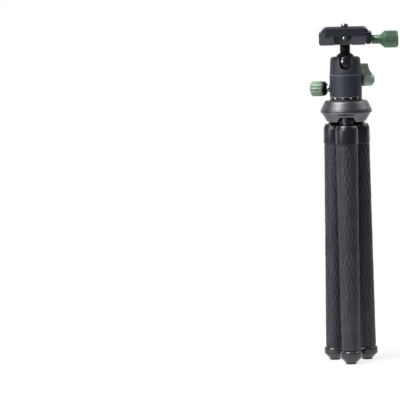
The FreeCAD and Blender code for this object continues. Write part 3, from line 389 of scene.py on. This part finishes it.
def anodised(name, tone, shine, roughness, blast=0.00004, worn_and_highlight=colour(132, 135, 142)):
    """Bead-blasted aluminium with a dyed oxide skin: a fine grain, faint clouds, and edges painted bright,
    partly as wear and partly as a painted highlight.
    """
    finish = new_finish(name)
    place = finish.place()
    cloud = finish.noise(place, scale=90, detail=3)
    grain = finish.noise(place, scale=4200, detail=2)
    patches = finish.ramp(finish.noise(place, scale=300, detail=3), (0.3, 0.5), (0.6, 1.0))
    rubbed_and_highlight = finish.edges(EDGE_WEAR_AND_HIGHLIGHT) * patches
    finish.surface({
        "Base Color": finish.mixed(rubbed_and_highlight, finish.mixed(cloud, tone, shine), worn_and_highlight),
        "Metallic": 0.25,
        "Roughness": roughness + cloud * 0.1 + grain * 0.06,
        "Specular IOR Level": 0.5,
        "Normal": finish.bump(grain, blast),
    })
    return finish


black_metal = anodised("black_metal", colour(22, 24, 32), colour(31, 33, 42), roughness=0.3)
collar_metal = anodised(
    "collar_metal", colour(17, 21, 31), colour(24, 29, 39), roughness=0.25, blast=0.000005,
)
collar_metal.surface({"Specular IOR Level": 1.0})
core_metal = anodised("core_metal", colour(150, 150, 152), colour(176, 176, 178), roughness=0.35)

foot_rubber = new_finish("foot_rubber")
foot_place = foot_rubber.place()
foot_scuff = foot_rubber.ramp(foot_rubber.noise(foot_place, scale=220, detail=3), (0.35, 0.0), (0.75, 1.0))
foot_grain = foot_rubber.noise(foot_place, scale=6000, detail=2)
foot_rubber.surface({
    "Base Color": foot_rubber.mixed(foot_scuff, colour(46, 47, 51), colour(58, 59, 63)),
    "Roughness": 0.14 + foot_scuff * 0.06,
    "Normal": foot_rubber.bump(foot_grain, depth=0.000005),
})

for leg in range(1, LEG_COUNT + 1):
    dress(collar_metal, "leg_%d_socket" % leg, edge=0.00025)
    dress(foot_rubber, "leg_%d_foot" % leg, edge=0.0005, slices=3)
    dress(core_metal, *["leg_%d_core_%d" % (leg, link) for link in range(1, SLEEVE_LINKS + 1)])


# Hub. A bevelled cap over a skirt with three slots for the legs, both machined from aluminium and
# anodised satin black. The skirt is painted a shade paler, a painted reflection of the white floor
# below it. The hinge pins are blackened too, and the screws under the skirt and the stud that
# carries the head are bare steel.
MACHINED_EDGE = 0.0003
TURNED_EDGE = 0.0002

hub_metal = anodised("hub_metal", colour(36, 37, 43), colour(46, 47, 54), roughness=0.3)
# The skirt's paler colour is a painted reflection of the white floor below it.
spider_painted_reflection_metal = anodised("spider_painted_reflection_metal", colour(54, 56, 64), colour(64, 66, 75), roughness=0.3)
for metal in (hub_metal, spider_painted_reflection_metal):
    metal.surface({"Specular IOR Level": 1.0, "IOR": 1.75})
dress(hub_metal, "hub_cap", edge=MACHINED_EDGE)
dress(spider_painted_reflection_metal, "hub_spider", edge=MACHINED_EDGE)


def bare_steel(name, roughness):
    """Turned and polished steel with fine turning marks."""
    finish = new_finish(name)
    grain = finish.noise(finish.place(), scale=2600, detail=4)
    finish.surface({
        "Base Color": finish.mixed(grain, colour(178, 180, 184), colour(204, 206, 210)),
        "Metallic": 1.0,
        "Roughness": roughness + grain * 0.12,
        "Normal": finish.bump(grain, depth=0.00001),
    })
    return finish


steel = bare_steel("steel", roughness=0.14)
dress(steel, "hub_screws", "hub_stud", edge=TURNED_EDGE)
dress(black_metal, "leg_hinge_pins", edge=TURNED_EDGE)


# Scale ring. The head's fixed foot wears a black ring with a white scale of degrees: printed marks
# every five degrees and plain numbers every thirty.
RING_RADIUS = 0.0147
RING_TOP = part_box("pan_scale_ring")[1].z
PRINT_THICKNESS = 0.00003
ZERO_AZIMUTH = -102
MARK_STEP = 5
MARK_WIDTH = 0.00022
MARK_DROP = 0.00015
SHORT_MARK = 0.0004
LONG_MARK = 0.0006
NUMBER_STEP = 30
NUMBER_HEIGHT = 0.0017
NUMBER_DROP = 0.00215
NUMBER_WEIGHT = 0.00004

ring_black = anodised("scale_ring", colour(22, 23, 26), colour(30, 31, 35), roughness=0.3)
dress(black_metal, "pan_base", edge=TURNED_EDGE)
dress(ring_black, "pan_scale_ring", edge=TURNED_EDGE)

scale_print = new_finish("scale_print")
print_wear = scale_print.noise(scale_print.place(), scale=3000, detail=3)
scale_print.surface({
    "Base Color": scale_print.mixed(print_wear, colour(226, 226, 228), colour(244, 244, 244)),
    "Roughness": 0.5 + print_wear * 0.1,
})


def wrapped(degrees, sideways, level, lift):
    """A point printed on the ring: sideways runs round it from a number of degrees."""
    turn = math.radians(degrees + ZERO_AZIMUTH) + sideways / RING_RADIUS
    return round_point(turn, RING_RADIUS + lift, level)


def scale_marks(mesh):
    for degrees in range(0, 360, MARK_STEP):
        length = LONG_MARK if degrees % NUMBER_STEP == 0 else SHORT_MARK
        high = RING_TOP - MARK_DROP
        side = MARK_WIDTH / 2
        outline = ((-side, high - length), (side, high - length), (side, high), (-side, high))
        inner, outer = [
            [mesh.verts.new(wrapped(degrees, sideways, level, lift)) for sideways, level in outline]
            for lift in (0, PRINT_THICKNESS)
        ]
        mesh.faces.new(inner[::-1])
        mesh.faces.new(outer)
        band(mesh, outer, inner)


def scale_numbers(mesh):
    for degrees in range(0, 360, NUMBER_STEP):
        words = bpy.data.curves.new("number", "FONT")
        words.body = str(degrees)
        words.size = NUMBER_HEIGHT
        words.align_x = "CENTER"
        words.offset = NUMBER_WEIGHT
        words.extrude = PRINT_THICKNESS / 2
        words.resolution_u = 3
        letters = bpy.data.objects.new("number", words)
        flat = bpy.data.meshes.new_from_object(letters)
        for vertex in flat.vertices:
            lift = PRINT_THICKNESS if vertex.co.z > 0 else 0.0
            vertex.co = wrapped(degrees, vertex.co.x, RING_TOP - NUMBER_DROP + vertex.co.y, lift)
        mesh.from_mesh(flat)
        bpy.data.meshes.remove(flat)
        bpy.data.objects.remove(letters)
        bpy.data.curves.remove(words)


def put(name, mesh, finish, body):
    """Makes a flat-faced piece of a finished mesh, in its material, riding on a body."""
    data = bpy.data.meshes.new(name)
    mesh.normal_update()
    mesh.to_mesh(data)
    mesh.free()
    for face in data.polygons:
        face.use_smooth = False
    data.materials.append(finish.owner)
    piece = bpy.data.objects.new(name, data)
    bpy.context.scene.collection.objects.link(piece)
    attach(piece, body)


printed = bmesh.new()
scale_marks(printed)
scale_numbers(printed)
put("scale_marks", printed, scale_print, "hub")


# Housing of the head. Two shells of black anodised aluminium, screwed together. Only the upper
# shell's edges are broken, which leaves a fine bright seam round the housing; the shells' edges are
# painted bright, partly as wear and partly as a painted highlight. A plastic cup and a pressure
# piece inside hold the ball up against the upper shell.
shell_metal = anodised(
    "shell_metal", colour(42, 45, 53), colour(52, 55, 64), roughness=0.42, worn_and_highlight=colour(178, 181, 188),
)
dress(shell_metal, "housing_upper", edge=MACHINED_EDGE)
dress(shell_metal, "housing_lower")

cup_plastic = new_finish("inner_plastic")
cup_mottle = cup_plastic.noise(cup_plastic.place(), scale=900, detail=3)
cup_plastic.surface({
    "Base Color": cup_plastic.mixed(cup_mottle, colour(24, 24, 26), colour(36, 36, 38)),
    "Roughness": 0.4 + cup_mottle * 0.1,
})
dress(cup_plastic, "ball_cup")
dress(core_metal, "ball_wedge")


# Ball and neck. The ball is turned, polished and black; the neck between it and the clamp is black
# too, with a duller skin.
ball_black = new_finish("ball_black")
ball_haze = ball_black.noise(ball_black.place(), scale=260, detail=4)
ball_black.surface({
    "Base Color": ball_black.mixed(ball_haze, colour(20, 21, 26), colour(27, 28, 34)),
    "Metallic": 0.2,
    "Roughness": 0.15 + ball_haze * 0.05,
    "Specular IOR Level": 1.0,
    "IOR": 1.8,
})
dress(ball_black, "ball")

neck_black = anodised(
    "neck_black", colour(12, 14, 18), colour(18, 20, 24), roughness=0.3, worn_and_highlight=colour(50, 52, 56),
)
neck_black.surface({"Specular IOR Level": 0.25})
dress(neck_black, "ball_stem", edge=TURNED_EDGE)


# Pan knob. A fluted grip of green anodised aluminium with a dark flange, on a polished steel screw
# that presses on the spindle of the head's foot.
# How far edges are painted paler, partly as rubbed wear and partly as a painted highlight.
RUBBED_AND_HIGHLIGHT_PALE = 0.6


def green_skin(name, tone, shine, roughness, worn_and_highlight, blast=0.00002):
    """Green anodised aluminium with clouds in its dye and edges painted paler, partly as rubbed wear and partly
    as a painted highlight.
    """
    finish = new_finish(name)
    place = finish.place()
    cloud = finish.ramp(finish.noise(place, scale=160, detail=4), (0.3, 0.0), (0.7, 1.0))
    grain = finish.noise(place, scale=3600, detail=3)
    rubbed_and_highlight = finish.edges(EDGE_WEAR_AND_HIGHLIGHT) * RUBBED_AND_HIGHLIGHT_PALE
    finish.surface({
        "Base Color": finish.mixed(rubbed_and_highlight, finish.mixed(cloud, tone, shine), worn_and_highlight),
        "Metallic": 0.45,
        "Roughness": roughness + grain * 0.12,
        "Normal": finish.bump(grain, blast),
    })
    return finish


green_metal = green_skin(
    "green_metal", colour(106, 126, 106), colour(122, 142, 122), roughness=0.42, worn_and_highlight=colour(160, 178, 160),
)
dress(green_metal, "pan_knob", edge=0.00015)
dress(neck_black, "pan_knob_flange", edge=TURNED_EDGE)
dress(steel, "pan_knob_screw", edge=TURNED_EDGE)


# Lock lever. A cast wing on a round hub, green anodised like the knobs but blotchier; its screw
# lifts the pressure piece under the ball.
cast_green = green_skin(
    "cast_green", colour(112, 131, 117), colour(184, 199, 185), roughness=0.36,
    worn_and_highlight=colour(196, 210, 197), blast=0.00006,
)
dress(cast_green, "lock_lever", edge=0.0005, slices=3)
dress(steel, "lock_screw", edge=TURNED_EDGE)


# Clamp. An aluminium base with one fixed dovetail jaw and one that slides on two steel pins; two
# springs push it open, and a screw through the middle holds the clamp on the neck.
clamp_grey = anodised("clamp_grey", colour(63, 64, 71), colour(77, 78, 84), roughness=0.36)
dress(clamp_grey, "clamp_base", edge=MACHINED_EDGE)
dress(black_metal, "clamp_jaw", edge=MACHINED_EDGE)
dress(steel, "clamp_guide_pins", "clamp_springs", "clamp_fixing_screw", edge=TURNED_EDGE)


# Clamp knob. A green anodised knob with a knurled grip on a steel screw, and a round bubble level
# let into its end: a green liquid under a clear dome, with a printed ring and an air bubble.
VIAL_RADIUS = 0.00475
VIAL_DOME = 0.0007
VIAL_CURVE = (VIAL_RADIUS ** 2 + VIAL_DOME ** 2) / (2 * VIAL_DOME)
VIAL_PRINT = 0.00002
VIAL_STEPS = 48
MIDDLE_RING = (0.0019, 0.0022)
OUTER_RING = (0.0042, 0.0047)
BUBBLE = (0.0002, 0.0013)
BUBBLE_LEAN = (0.0004, 0.0022)
vial_low, vial_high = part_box("level_vial")
VIAL_END = vial_high.x
VIAL_MIDDLE = (vial_low.z + vial_high.z) / 2

knob_green = green_skin(
    "knob_green", colour(79, 108, 86), colour(95, 124, 101), roughness=0.28, worn_and_highlight=colour(146, 174, 149),
)
dress(knob_green, "clamp_knob", edge=0.00012)
dress(steel, "clamp_screw", edge=TURNED_EDGE)

liquid = new_finish("vial_green")
liquid_cloud = liquid.noise(liquid.place(), scale=500, detail=2)
liquid.surface({
    "Base Color": liquid.mixed(liquid_cloud, colour(150, 196, 40), colour(176, 216, 62)),
    "Roughness": 0.06 + liquid_cloud * 0.04,
    "Coat Weight": 0.8,
    "Coat Roughness": 0.03,
})
dress(liquid, "level_vial")


def dome_ring(radii, lean=(0.0, 0.0)):
    """A thin ring or disc laid on the level's dome; lean moves its middle in y and z."""
    mesh = bmesh.new()
    rows = []
    for radius in radii:
        for height in (0.0, VIAL_PRINT):
            row = []
            for step in range(VIAL_STEPS):
                turn = 2 * math.pi * step / VIAL_STEPS
                y = lean[0] + radius * math.cos(turn)
                z = lean[1] + radius * math.sin(turn)
                sag = VIAL_CURVE - math.sqrt(VIAL_CURVE ** 2 - y * y - z * z)
                row.append(mesh.verts.new((VIAL_END - sag + height, y, VIAL_MIDDLE + z)))
            rows.append(row)
    inner_low, inner_high, outer_low, outer_high = rows
    band(mesh, outer_high, outer_low)
    band(mesh, inner_high, outer_high)
    band(mesh, inner_low, inner_high)
    band(mesh, outer_low, inner_low)
    return mesh


vial_print = new_finish("vial_print")
ink_wear = vial_print.noise(vial_print.place(), scale=2500, detail=2)
vial_print.surface({
    "Base Color": vial_print.mixed(ink_wear, colour(18, 20, 18), colour(32, 34, 32)),
    "Roughness": 0.3 + ink_wear * 0.1,
})
put("vial_ring", dome_ring(MIDDLE_RING), vial_print, "clamp_knob")
put("vial_rim", dome_ring(OUTER_RING), vial_print, "clamp_knob")

air = new_finish("air_bubble")
air_cloud = air.noise(air.place(), scale=700, detail=2)
air.surface({
    "Base Color": air.mixed(air_cloud, colour(214, 236, 130), colour(228, 244, 160)),
    "Roughness": 0.08 + air_cloud * 0.04,
})
put("vial_bubble", dome_ring(BUBBLE, BUBBLE_LEAN), air, "clamp_knob")


# Quick-release plate. A dovetailed aluminium plate with a ribbed rubber pad on top, two steel stop
# screws under it and a quarter-inch screw for the camera.
plate_black = anodised(
    "plate_black", colour(28, 31, 40), colour(38, 41, 51), roughness=0.34, worn_and_highlight=colour(96, 98, 106),
)
dress(plate_black, "quick_release_plate", edge=MACHINED_EDGE)
dress(steel, "stop_screws", "camera_screw", edge=0.00015)

pad_rubber = new_finish("pad_rubber")
pad_speckle = pad_rubber.noise(pad_rubber.place(), scale=1800, detail=4)
pad_rubber.surface({
    "Base Color": pad_rubber.mixed(pad_speckle, colour(24, 25, 28), colour(38, 39, 43)),
    "Roughness": 0.6 + pad_speckle * 0.15,
    "Specular IOR Level": 0.12,
    "Normal": pad_rubber.bump(pad_speckle, depth=0.00006),
})
dress(pad_rubber, "plate_pad", edge=TURNED_EDGE)


# Studio: a white floor with a faint shadow, and surroundings that glossy parts mirror as white behind
# the object and dark in front of it. A large soft lamp hangs above it at the left, and four weaker
# ones stand round it.
FLOOR_RADIUS = 4.0
FLOOR_SEGMENTS = 96
FLOOR_GREY = 0.86
FLOOR_GLOW = 0.78
GLOW_REACH = (0.05, 0.45)
DARK_SIDE = 0.06
NEAR_FLOOR = (0.1, 0.4)
FAR_FLOOR = (0.1, 0.7)
FAR_SIDE = (0.3, 0.8)
SURROUNDING_LIGHT = 0.12

floor_mesh = bmesh.new()
bmesh.ops.create_circle(floor_mesh, cap_ends=True, segments=FLOOR_SEGMENTS, radius=FLOOR_RADIUS)
floor_data = bpy.data.meshes.new("floor")
floor_mesh.to_mesh(floor_data)
floor_mesh.free()
floor = bpy.data.objects.new("floor", floor_data)
bpy.context.scene.collection.objects.link(floor)


def kinds_of_ray(finish):
    """1 for rays from the camera, from a glossy surface and through a clear one, each by itself."""
    return [
        finish.node("ShaderNodeLightPath", output=kind)
        for kind in ("Is Camera Ray", "Is Glossy Ray", "Is Transmission Ray")
    ]


floor_finish = new_finish("floor_white")
floor_seen, floor_mirror, floor_through = kinds_of_ray(floor_finish)
floor_place = floor_finish.place()
floor_y = floor_finish.node("ShaderNodeSeparateXYZ", inputs={0: floor_place}, output="Y")
floor_distance = floor_finish.node("ShaderNodeVectorMath", {"operation": "LENGTH"}, {0: floor_place}, "Value")
floor_near = floor_finish.slope(floor_distance, NEAR_FLOOR, 1.0, DARK_SIDE, "SMOOTHSTEP")
floor_far = floor_finish.slope(floor_y, FAR_FLOOR, DARK_SIDE, 1.0, "SMOOTHSTEP")
floor_mirrored = floor_near.at_least(floor_far)
floor_glow = floor_finish.slope(floor_distance, GLOW_REACH, FLOOR_GLOW, 1.0)
floor_dark = floor_mirror * (1 - floor_mirrored)
floor_finish.surface({
    "Base Color": floor_finish.mixed(floor_dark, grey(FLOOR_GREY), grey(DARK_SIDE)),
    "Roughness": 0.9,
    "Specular IOR Level": 0.0,
})
white = floor_finish.node("ShaderNodeEmission", inputs={"Color": grey(1), "Strength": 1.0})
shaded = Signal(floor_finish, floor_finish.tree.nodes["Principled BSDF"].outputs[0])
white_share = (floor_seen + floor_mirror * floor_mirrored + floor_through) * floor_glow
floor_light = floor_finish.node("ShaderNodeMixShader", inputs={0: white_share, 1: shaded, 2: white})
floor_finish.feed(floor_finish.tree.nodes["Material Output"].inputs["Surface"], floor_light)
floor_data.materials.append(floor_finish.owner)

surroundings = Finish(bpy.data.worlds.new("surroundings"))
bpy.context.scene.world = surroundings.owner
sky_seen, sky_mirror, sky_through = kinds_of_ray(surroundings)
sky_way = surroundings.node("ShaderNodeTexCoord", output="Generated")
sky_y = surroundings.node("ShaderNodeSeparateXYZ", inputs={0: sky_way}, output="Y")
sky_mirrored = surroundings.slope(sky_y, FAR_SIDE, DARK_SIDE, 1.0, "SMOOTHSTEP")
sky_white = sky_seen + sky_through
sky_lighting = (1 - sky_white - sky_mirror) * SURROUNDING_LIGHT
backdrop = surroundings.tree.nodes["Background"]
surroundings.feed(backdrop.inputs["Color"], grey(1))
surroundings.feed(backdrop.inputs["Strength"], sky_white + sky_mirror * sky_mirrored + sky_lighting)


def soft_lamp(name, spot, aim, across, watts, mirrored=True):
    """A rectangle of soft light; mirrored says whether glossy surfaces show it."""
    lamp = bpy.data.lights.new(name, "AREA")
    lamp.shape = "RECTANGLE"
    lamp.size, lamp.size_y = across
    lamp.energy = watts
    holder = bpy.data.objects.new(name, lamp)
    holder.location = spot
    holder.rotation_euler = (Vector(aim) - Vector(spot)).to_track_quat("-Z", "Y").to_euler()
    holder.visible_glossy = mirrored
    bpy.context.scene.collection.objects.link(holder)


HUB_AIM = (0, 0, 0.235)
LEG_AIM = (0, 0, 0.2)
soft_lamp("key_lamp", (-0.54, -0.30, 1.27), HUB_AIM, across=(0.65, 0.65), watts=19.0)
soft_lamp("side_lamp", (0.85, 0.25, 1.05), HUB_AIM, across=(0.8, 0.8), watts=5.0)
soft_lamp("front_lamp", (-0.76, -0.98, 0.72), LEG_AIM, across=(0.45, 0.45), watts=6.5)
soft_lamp("low_lamp", (-0.95, -0.55, 0.3), LEG_AIM, across=(0.3, 0.5), watts=2.4)
soft_lamp("back_lamp", (0.5, 1.3, 0.7), LEG_AIM, across=(0.9, 0.6), watts=14.0, mirrored=False)


# Camera: far off and a little higher than the top of the object, turned so that the object stands at
# the right of a square frame and leans slightly to the left.
CAMERA_SPOT = Vector((0, -2.4, 0.423))
CAMERA_AIM = Vector((-0.136, 0, 0.1518))
CAMERA_ROLL = math.radians(1.53)
VIEW_ANGLE = math.radians(8.7)
camera = bpy.data.cameras.new("camera")
camera.sensor_fit = "HORIZONTAL"
camera.angle = VIEW_ANGLE
camera_holder = bpy.data.objects.new("camera", camera)
camera_holder.location = CAMERA_SPOT
looking = (CAMERA_AIM - CAMERA_SPOT).to_track_quat("-Z", "Y")
camera_holder.rotation_euler = (looking.to_matrix() @ Matrix.Rotation(-CAMERA_ROLL, 3, "Z")).to_euler()
bpy.context.scene.collection.objects.link(camera_holder)
bpy.context.scene.camera = camera_holder
bpy.context.scene.view_settings.view_transform = "Standard"
